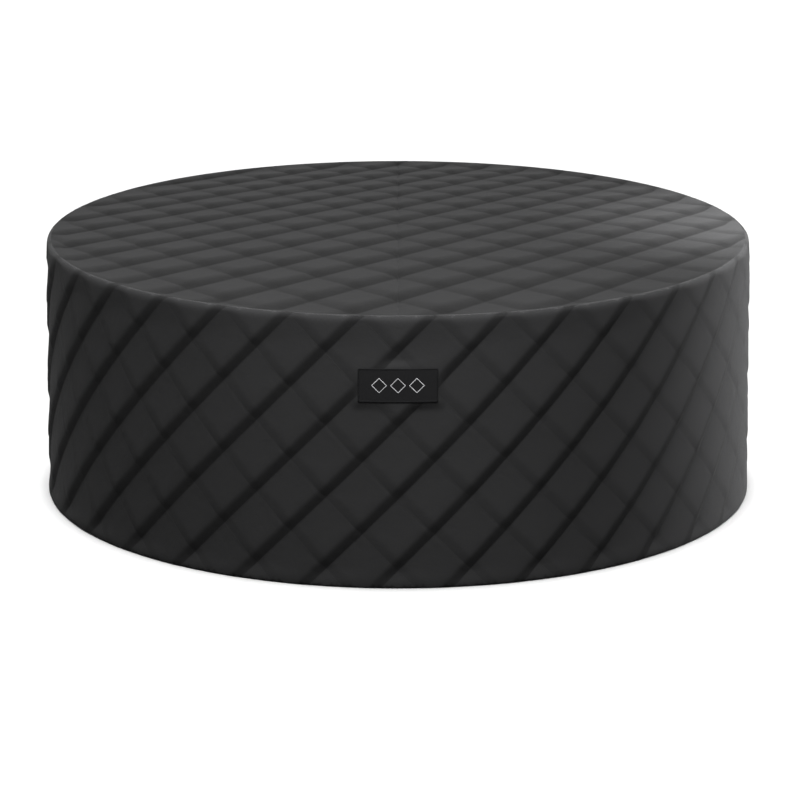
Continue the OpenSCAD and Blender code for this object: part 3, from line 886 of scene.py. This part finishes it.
for mat, names in ((wall_mat, "bottom_sheet"),
                   (fitting_mat, "air_nozzles return_nozzle filter_base drain_fitting valve_body pump_volute "
                                 "suction_pipe return_pipe air_hose"),
                   (cap_mat, "filter_cap drain_cap impeller blower_fan"),
                   (dark_mat, "unit_housing service_panel panel_housing blower_case valve_cap"),
                   (foam_mat, "foam_core_left foam_core_right"),
                   (steel_mat, "panel_screws heater_tube heater_rod"),
                   (nickel_mat, "zip_slider zip_pull"), (motor_mat, "pump_motor"),
                   (board_mat, "control_board"), (chip_mat, "board_parts power_inlet"),
                   (key_mat, "button_power button_heat button_filter button_bubble"),
                   (lens_mat, "display_lens"), (paper_mat, "filter_cartridge"), (web_mat, "wall_webs")):
    for name in names.split():
        nodes[name].data.materials.clear()
        nodes[name].data.materials.append(mat)


# ---------------------------------------------------------------- linings, tapes and the fold
def ripple(x, y, scale, depth):
    return depth * noise.noise(Vector((x * scale, y * scale, 3.7)))


def top_lining(side, name, body, node_name):
    """Half disc of thin lining under one half of the top, gathered a little by its edge seam."""
    reach = core_r - 0.004
    inset = 0.0012
    rows = 40
    grid = []
    for i in range(rows + 1):
        x = inset + (reach - 0.0092) * (i / rows)
        half = math.sqrt(max(0.0, reach * reach - x * x))
        row = []
        for j in range(97):
            y = -half + 2 * half * j / 96
            z = lid_z + 0.0006 + ripple(x * side + 4, y, 9.0, 0.0005)
            row.append(((x * side, y, z), (0, 0, 1.0)))
        grid.append(row if side < 0 else row[::-1])
    obj = slab(name, grid, 0.0008, lining_mat)
    wear(obj, body, node_name)


top_lining(-1, "lining_left", "jacket", "top_lining_left")
top_lining(1, "lining_right", "lid_right", "top_lining_right")


def skirt_lining():
    """Lining band inside the skirt, with soft folds that hang from its upper seam."""
    lo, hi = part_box("skirt_lining")
    z0, z1 = float(lo[2]), float(hi[2])
    inner = [(side_r(z1 - (z1 - z0) * i / 24) - quilt - 0.0016, z1 - (z1 - z0) * i / 24) for i in range(25)]
    outer = [(r + 0.0012, z) for r, z in reversed(inner)]

    def fold(phi, r, z):
        drop = (z1 - z) / (z1 - z0)
        wave = math.sin(phi * 47 + 2 * math.sin(phi * 5)) * 0.6 + math.sin(phi * 83 + 1.0) * 0.4
        return r - 0.0012 * drop * (0.5 + 0.5 * wave), z

    obj = lathe("lining_skirt", inner + outer, 720, lining_mat, fold)
    wear(obj, "jacket", "skirt_lining")


def hem_tape():
    """Bias tape sewn inside the hem, with a row of stitch dents near its upper edge."""
    lo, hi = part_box("hem_tape")
    z0, z1 = float(lo[2]), float(hi[2])
    r = float(hi[0])
    outline = spaced([(r - 0.0016, z0), (r, z0), (r - 0.0002, z1), (r - 0.0018, z1)], 0.003)

    def dent(phi, rr, z):
        stitch = math.exp(-(((z - z1 + 0.004) / 0.0012) ** 2)) * (0.5 + 0.5 * math.cos(phi * 1400))
        return rr - 0.0004 * stitch + 0.0004 * math.sin(phi * 61), z

    obj = lathe("hem_binding", outline, 1440, tape_mat, dent)
    wear(obj, "jacket", "hem_tape")


def fold_spine():
    """Narrow strip that joins the two halves of the top, along the fold."""
    half = 0.0006
    length = top_r * 0.998
    across, along = 12, 360
    z = top_z - 0.0105
    grid = []
    for i in range(across + 1):
        x = -half + 2 * half * i / across
        row = [((x, -length + 2 * length * j / along, z), (0, 0, 1.0)) for j in range(along + 1)]
        grid.append(row[::-1])
    obj = slab("fold_spine", grid, 0.0014, tape_mat)
    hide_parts("fold_strip")
    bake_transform(obj)


skirt_lining()
hem_tape()
fold_spine()


# ---------------------------------------------------------------- zip round the right half
def zip_parts():
    """Two tapes with a row of moulded teeth each: the outer one is the jacket's, the inner one the lid's."""
    lo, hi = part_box("zip_chain")
    r_mid = float(hi[0]) - 0.002
    z0, z1 = float(lo[2]), float(hi[2])
    tape_lo, tape_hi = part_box("zip_tape")
    t0, t1 = float(tape_lo[2]), float(tape_hi[2])
    # the zip stops 3 degrees short of the fold at each end
    reach = math.radians(87)
    spread = (math.pi / 2 - reach, math.pi / 2 + reach)
    pitch = 0.0042
    count = int(r_mid * 2 * reach / pitch)
    for name, body, sign, r_edge, old in (("zip_outer", "jacket", 1, flange_r - 0.0003, True),
                                          ("zip_inner", "lid_right", -1, core_r + 0.0022, False)):
        near = r_mid + sign * 0.0004
        edge = sorted((near, r_edge))
        section = [(edge[0], t0), (edge[1], t0), (edge[1], t1 - 0.0004), (edge[0], t1 - 0.0004)]
        tape = lathe(name + "_tape", section, 420, tape_mat,
                     lambda phi, r, z: (r, z + 0.0003 * math.sin(phi * 90)), spread)
        wear(tape, body, "zip_tape" if old else None)
        verts, faces = [], []
        for i in range(count):
            phi = spread[0] + (i + (0.5 if sign > 0 else 0.0)) / count * 2 * reach
            step = pitch / r_mid
            # each tooth: a head that reaches over the middle and a foot on the tape
            outline = [(-0.0008, 0.16), (0.0006, 0.30), (0.0018, 0.22), (0.0026, 0.22),
                       (0.0026, -0.22), (0.0018, -0.22), (0.0006, -0.30), (-0.0008, -0.16)]
            base = len(verts)
            for z, grow in ((z0, 1.0), (z1 - 0.0003, 1.0), (z1, 0.75)):
                for dr, da in outline:
                    mid = 0.0009
                    verts.append(polar(r_mid + sign * (mid + (dr - mid) * grow), phi + da * grow * step, z))
            n = len(outline)
            for lvl in range(2):
                ring = base + lvl * n
                for j in range(n):
                    k = (j + 1) % n
                    quad = (ring + j, ring + k, ring + n + k, ring + n + j)
                    faces.append(quad if sign < 0 else quad[::-1])
            cap = tuple(base + 2 * n + j for j in range(n))
            foot = tuple(base + j for j in range(n))[::-1]
            faces += [cap, foot] if sign < 0 else [cap[::-1], foot[::-1]]
        teeth = make_object(name + "_teeth", verts, faces, chip_mat, smooth=False)
        wear(teeth, body, "zip_chain" if old else None)


# ---------------------------------------------------------------- label
def label():
    """Woven label with a merrowed edge and three outlined diamonds in satin stitch."""
    lo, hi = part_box("label_patch")
    width = float(hi[0] - lo[0]) - 0.004
    height = float(hi[2] - lo[2]) - 0.004
    z_mid = float(hi[2] + lo[2]) / 2
    base_r = side_r(z_mid)

    def on_label(u, v, lift):
        z = z_mid + v
        phi = u / base_r
        return Vector(polar(side_r(z) + lift, phi, z))

    def outward(p):
        r = math.hypot(p[0], p[1])
        return p[0] / r, p[1] / r, 0.0

    grid = []
    for j in range(31):
        v = -height / 2 + height * j / 30
        row = []
        for i in range(81):
            u = -width / 2 + width * i / 80
            p = on_label(u, v, 0.0006 + ripple(u, v, 22.0, 0.0004))
            row.append((p, outward(p)))
        grid.append(row)
    patch = slab("label_panel", grid, 0.0010, label_mat)

    def ring_path(points, lift, step=0.006):
        out = []
        for (u0, v0), (u1, v1) in zip(points, points[1:] + points[:1]):
            n = max(1, math.ceil(math.hypot(u1 - u0, v1 - v0) / step))
            out += [on_label(u0 + (u1 - u0) * k / n, v0 + (v1 - v0) * k / n, lift) for k in range(n)]
        return out

    w, h, cut = width / 2 - 0.0010, height / 2 - 0.0010, 0.0016
    corners = [(-w + cut, -h), (w - cut, -h), (w, -h + cut), (w, h - cut),
               (w - cut, h), (-w + cut, h), (-w, h - cut), (-w, -h + cut)]
    edge = stitched_rope("label_edge", ring_path(corners, 0.0012), 0.0042, 0.0012, 0.0016, edge_mat, outward)
    pieces = []
    for k in (-1, 0, 1):
        c, reach = k * 0.046, 0.018
        points = [(c + reach, 0), (c, reach), (c - reach, 0), (c, -reach)]
        pieces.append(stitched_rope("label_mark_%d" % (k + 2), ring_path(points, 0.0014),
                                    0.0017, 0.0007, 0.0011, thread_mat, outward))
    wear(patch, "jacket", "label_patch")
    wear(edge, "jacket", "label_border")
    for piece in pieces:
        wear(piece, "jacket", "label_emblem" if piece is pieces[0] else None)


# ---------------------------------------------------------------- inflated tub
WEBS = 24


def weld_distance(phi):
    """How far a place on the wall is from the nearest weld line."""
    turns = (phi / TURN * WEBS) % 1.0
    return min(turns, 1.0 - turns) / WEBS * TURN * 0.8


def web_valley(phi, z, z0, z1, width):
    """1 at a weld line above a web and 0 between them; the lines end below the shoulder and above the toe."""
    # phi counts from the front, so the control unit is at half a turn
    if abs(phi - math.pi) < math.radians(17):
        return 0.0
    fade = min(1.0, max(0.0, (z - z0) / 0.05)) * min(1.0, max(0.0, (z1 - z) / 0.06))
    return fade * math.exp(-((weld_distance(phi) / width) ** 1.4))


def wall_wrinkle(phi, z, depth):
    return depth * noise.noise(Vector((math.cos(phi) * 7, math.sin(phi) * 7, z * 13)))


def outer_wall():
    """Inflated outer wall: full between the webs, drawn in along the weld lines, open at the control unit."""
    r, z0, z1 = tub_box("outer_wall")
    bulge, toe, sheet = 0.060, 0.030, 0.004
    outline = [(r - toe, z0)] + arc_points(r - toe, z0 + toe, toe, -80, 0, 8)
    outline += arc_points(r - bulge, z1 - bulge, bulge, 0, 90, 12)
    panel_lo, panel_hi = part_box("service_panel")
    hole = (float(panel_lo[2]) - 0.001, float(panel_hi[2]) + 0.001)
    fine = []
    for (ra, za), (rb, zb) in zip(outline, outline[1:]):
        n = max(1, math.ceil(math.hypot(rb - ra, zb - za) / 0.0125))
        fine += [(ra + (rb - ra) * i / n, za + (zb - za) * i / n) for i in range(n)]
    fine.append(outline[-1])
    for edge in hole:
        k = min(range(len(fine)), key=lambda i: abs(fine[i][1] - edge))
        fine[k] = (fine[k][0], edge)
    count = 1152
    n = len(fine)
    half = math.radians(12.5)
    verts, faces = [], []
    for layer in (0, 1):
        for i in range(count):
            phi = TURN * i / count
            for k, (rr, z) in enumerate(fine):
                dip = 0.0030 * web_valley(phi, z, 0.05, z1 - 0.05, 0.022) - wall_wrinkle(phi, z, 0.0004)
                back = sheet * 0.5 * layer
                verts.append(polar(rr - dip - 0.0006 - back, phi, z - (back if z > z1 - 0.03 else 0)))

    def in_hole(i, j):
        phi = TURN * (i + 0.5) / count
        return abs(phi - math.pi) < half and hole[0] - 1e-6 < fine[j][1] and fine[j + 1][1] < hole[1] + 1e-6

    for i in range(count):
        k = (i + 1) % count
        for j in range(n - 1):
            if in_hole(i, j):
                continue
            faces.append((i * n + j, k * n + j, k * n + j + 1, i * n + j + 1))
    wear(double_skin("wall_outer", verts, faces, wall_mat), "tub", "outer_wall")


def inner_wall():
    """Inflated inner wall, full between the webs on the water side."""
    r_top, z0, z1 = tub_box("inner_wall")
    bulge, sheet = 0.060, 0.004
    r = r_top - bulge
    line = [(r, z0), (r, z1 - bulge)] + arc_points(r_top, z1 - bulge, bulge, 180, 90, 12)[1:]
    back = [(a + sheet * 0.5, b - (sheet * 0.5 if b > z1 - 0.03 else 0)) for a, b in reversed(line)]
    outline = spaced(line + back, 0.0125)

    def shape(phi, rr, z):
        dip = 0.0032 * web_valley(phi, z, 0.075, z1 - 0.055, 0.020)
        return rr + dip + 0.0002, z - 0.0003

    obj = lathe("wall_inner", outline[::-1], 960, basin_mat, shape)
    wear(obj, "tub", "inner_wall")


def deck():
    """Top of the inflated wall with openings for the operating panel and the air valve."""
    lo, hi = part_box("top_deck")
    r1, z0, z1 = float(hi[0]), float(lo[2]), float(hi[2])
    r0 = float(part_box("inner_wall")[1][0])
    p_lo, p_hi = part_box("panel_housing")
    v_lo, v_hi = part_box("valve_body")
    gap = 0.0003
    px, py = (p_lo[0] + p_hi[0]) / 2, (p_lo[1] + p_hi[1]) / 2
    ps, pt = (p_hi[0] - p_lo[0]) / 2 + gap, (p_hi[1] - p_lo[1]) / 2 + gap
    vx, vy, vr = (v_lo[0] + v_hi[0]) / 2, (v_lo[1] + v_hi[1]) / 2, (v_hi[0] - v_lo[0]) / 2 + gap

    def outside(x, y):
        box = max(abs(x - px) - ps, abs(y - py) - pt)
        return min(box, math.hypot(x - vx, y - vy) - vr)

    rows, count = 26, 1440
    pts = []
    for i in range(count):
        phi = TURN * i / count
        for j in range(rows + 1):
            x, y, z = polar(r0 + (r1 - r0) * j / rows, phi, 0.0)
            pts.append([x, y])
    n = rows + 1
    keep = []
    for i in range(count):
        k = (i + 1) % count
        for j in range(rows):
            q = (i * n + j, i * n + j + 1, k * n + j + 1, k * n + j)
            cx = sum(pts[v][0] for v in q) / 4
            cy = sum(pts[v][1] for v in q) / 4
            if outside(cx, cy) > 0:
                keep.append(q)
    edge = {v for loop in boundary_loops(keep) for v in loop}
    for v in edge:
        x, y = pts[v]
        if abs(x - px) < ps + 0.006 and abs(y - py) < pt + 0.006:
            to_x = ps - abs(x - px)
            to_y = pt - abs(y - py)
            if abs(to_x) < 0.006 and abs(to_y) < 0.006:
                pts[v] = [px + math.copysign(ps, x - px), py + math.copysign(pt, y - py)]
            elif abs(to_x) < abs(to_y):
                pts[v][0] = px + math.copysign(ps, x - px)
            else:
                pts[v][1] = py + math.copysign(pt, y - py)
        elif math.hypot(x - vx, y - vy) < vr + 0.008:
            d = math.hypot(x - vx, y - vy)
            pts[v] = [vx + (x - vx) * vr / d, vy + (y - vy) * vr / d]
    used = sorted({v for q in keep for v in q})
    index = {v: k for k, v in enumerate(used)}
    verts = []
    for layer in (0, 1):
        for v in used:
            x, y = pts[v]
            r = math.hypot(x, y)
            phi = math.atan2(x, -y) % TURN
            near = max(0.0, min(1.0, outside(x, y) / 0.03))
            weld = math.exp(-((weld_distance(phi) / 0.020) ** 1.4)) * near
            across = math.sin(math.pi * (r - r0) / (r1 - r0))
            z = z1 - 0.0003 - 0.0030 * weld * across - (z1 - z0) * 0.5 * layer
            verts.append((x, y, z))
    faces = [tuple(index[v] for v in q) for q in keep]
    wear(double_skin("deck_sheet", verts, faces, wall_mat), "tub", "top_deck")


def basin_floor():
    """Floor of the basin with a hexagonal field of welded dimples."""
    r, z0, z1 = tub_box("basin_floor")
    pitch = 0.075
    verts, faces = [], []
    rings, count = 110, 480
    for i in range(rings + 1):
        rr = r * i / rings
        for k in range(count):
            x, y, _ = polar(rr, TURN * k / count, 0)
            row = round(y / (pitch * 0.866))
            shift = 0.5 * (row % 2)
            cx = (round(x / pitch - shift) + shift) * pitch
            d = math.hypot(x - cx, y - row * pitch * 0.866)
            dimple = math.exp(-((d / 0.010) ** 2))
            rim = min(1.0, (r - rr) / 0.03)
            flat = 1.0 if math.hypot(x, y + 0.48) > 0.06 else 0.0
            verts.append((x, y, z1 - 0.0003 - 0.0028 * dimple * rim * flat))
    for i in range(rings):
        for k in range(count):
            m = (k + 1) % count
            a, b, c, d = i * count + k, i * count + m, (i + 1) * count + m, (i + 1) * count + k
            faces.append((a, d, c, b) if i else (a, d, c))
    top = len(verts)
    for k in range(count):
        verts.append(polar(r, TURN * k / count, z0 + 0.0002))
    verts.append((0, 0, z0 + 0.0002))
    base = rings * count
    for k in range(count):
        m = (k + 1) % count
        faces.append((base + k, top + k, top + m, base + m))
        faces.append((top + k, top + count, top + m))
    obj = make_object("basin_bottom", verts, faces, basin_mat)
    bm = bmesh.new()
    bm.from_mesh(obj.data)
    bmesh.ops.remove_doubles(bm, verts=bm.verts, dist=0.00005)
    bm.to_mesh(obj.data)
    bm.free()
    wear(obj, "tub", "basin_floor")


def bubble_ring():
    """Air channel round the floor, swollen a little at each nozzle."""
    r, z0, z1 = tub_box("bubble_ring")
    outline = spaced([(r - 0.0436, z0), (r, z0), (r, z1), (r - 0.020, z1 - 0.0030),
                      (r - 0.0290, z1 - 0.0070), (r - 0.0325, z1 - 0.0110)], 0.004)
    nozzles = 36

    def shape(phi, rr, z):
        d = ((phi / TURN * nozzles - 0.5) % 1.0)
        d = min(d, 1 - d) / nozzles * TURN * r
        bump = 0.0012 * math.exp(-((d / 0.016) ** 2)) * max(0.0, (z - z0 - 0.02) / (z1 - z0))
        lift = bump if rr < r - 0.002 and z > z0 + 0.02 else 0
        return rr - (bump if rr < r - 0.01 else 0), z + lift

    obj = lathe("bubble_channel", outline, 1080, basin_mat, shape)
    wear(obj, "tub", "bubble_ring")


def ground_mat():
    """Foam mat with a rounded, ridged rim."""
    r, z0, z1 = tub_box("ground_mat")
    middle_r = 0.30
    outline = [(middle_r, z0), (r - 0.002, z0), (r - 0.0004, z0 + 0.0012), (r, z0 + 0.003),
               (r - 0.0004, z1 - 0.0012), (r - 0.002, z1)]
    k = r - 0.004
    while k > middle_r:
        outline += [(k, z1), (k - 0.0015, z1 - 0.0008), (k - 0.006, z1 - 0.0008), (k - 0.0075, z1)]
        k -= 0.012
    outline.append((middle_r, z1))
    obj = lathe("foam_mat", outline, 240, mat_mat)
    middle = lathe("foam_mat_middle", [(0.002, z0), (0.2999, z0), (0.2999, z1), (0.002, z1)], 120, mat_mat)
    middle.parent = obj
    wear(obj, "tub", "ground_mat")


zip_parts()
label()
outer_wall()
inner_wall()
deck()
basin_floor()
bubble_ring()
ground_mat()

# ---------------------------------------------------------------- floor and light
floor_verts = []
floor_faces = []
rings = [0.0, 1.0, 2.0, 4.0, 9.0, 20.0, 45.0]
for r in rings:
    for k in range(48):
        ang = TURN * k / 48
        floor_verts.append((r * math.cos(ang), r * math.sin(ang), 0.0))
for i in range(len(rings) - 1):
    for k in range(48):
        a, b = i * 48 + k, i * 48 + (k + 1) % 48
        floor_faces.append((a, a + 48, b + 48, b) if i else (a, a + 48, b + 48))
floor_mat, _, floor_bsdf = new_material("studio_floor")
floor_bsdf.inputs["Base Color"].default_value = (0.80, 0.80, 0.80, 1)
floor_bsdf.inputs["Roughness"].default_value = 0.9
floor_bsdf.inputs["Specular IOR Level"].default_value = 0.1
floor = make_object("studio_floor", floor_verts, floor_faces, floor_mat, smooth=False)
floor.visible_diffuse = False

scene = bpy.context.scene
scene.view_settings.view_transform = "Standard"
scene.view_settings.look = "None"
world = bpy.data.worlds.new("studio")
scene.world = world
world.use_nodes = True
# a pale room, brighter above than below
wt = world.node_tree
sky = node(wt, "ShaderNodeTexCoord")
up = node(wt, "ShaderNodeSeparateXYZ")
wt.links.new(sky.outputs["Generated"], up.inputs[0])
shade = node(wt, "ShaderNodeMapRange")
shade.inputs["From Min"].default_value = -0.4
shade.inputs["From Max"].default_value = 0.6
shade.inputs["To Min"].default_value = 0.03
shade.inputs["To Max"].default_value = 0.24
wt.links.new(up.outputs[2], shade.inputs["Value"])
wt.nodes["Background"].inputs[0].default_value = (1, 1, 1, 1)
wt.links.new(shade.outputs[0], wt.nodes["Background"].inputs[1])


def light_group(name, objects, state):
    """A set of objects that a light reaches (INCLUDE) or leaves out (EXCLUDE)."""
    group = bpy.data.collections.new(name)
    for obj in objects:
        group.objects.link(obj)
    for entry in group.collection_objects:
        entry.light_linking.link_state = state
    return group


def place_light(name, data, location, towards, receivers):
    obj = bpy.data.objects.new(name, data)
    scene.collection.objects.link(obj)
    obj.location = location
    obj.rotation_euler = Vector(towards).to_track_quat("Z", "Y").to_euler()
    obj.visible_camera = False
    if receivers:
        obj.light_linking.receiver_collection = receivers
    return obj


def sun_light(name, towards, power, spread, receivers=None):
    """A wide soft light that comes from one side; power is in floor whites."""
    data = bpy.data.lights.new(name, "SUN")
    data.energy = power * math.pi
    data.angle = math.radians(spread)
    return place_light(name, data, (0, 0, 4), towards, receivers)


def spot_light(name, location, target, cone, power, receivers=None):
    data = bpy.data.lights.new(name, "SPOT")
    data.energy = power
    data.spot_size = math.radians(cone)
    data.spot_blend = 1.0
    data.shadow_soft_size = 0.35
    return place_light(name, data, location, Vector(location) - Vector(target), receivers)


def soft_box(name, location, target, size, power, receivers=None):
    data = bpy.data.lights.new(name, "AREA")
    data.energy = power
    data.size = size
    return place_light(name, data, location, Vector(location) - Vector(target), receivers)


off_floor = light_group("all_but_floor", [floor], "EXCLUDE")
off_top = light_group("all_but_floor_and_top", [floor, top_left, top_right], "EXCLUDE")
floor_only = light_group("floor_only", [floor], "INCLUDE")
top_only = light_group("top_only", [top_left, top_right], "INCLUDE")
sun_light("floor_wash", (0.0, 0.0, 1.0), 1.22, 9, floor_only)
sun_light("overhead", (0.0, 0.1, 1.0), 1.02, 40, off_floor)
sun_light("back_key", (0.10, 1.0, 0.84), 0.80, 22, off_floor)
soft_box("front_fill", (0.0, -2.3, 3.1), (0.0, -0.9, 0.4), 1.2, 182, off_top)
spot_light("edge_right", (2.80, -1.16, 3.08), (1.12, -0.05, 0.50), 26, 2650, off_top)
spot_light("corner_right", (2.80, -1.16, 3.08), (1.30, 0.02, 0.69), 19, 6600, top_only)
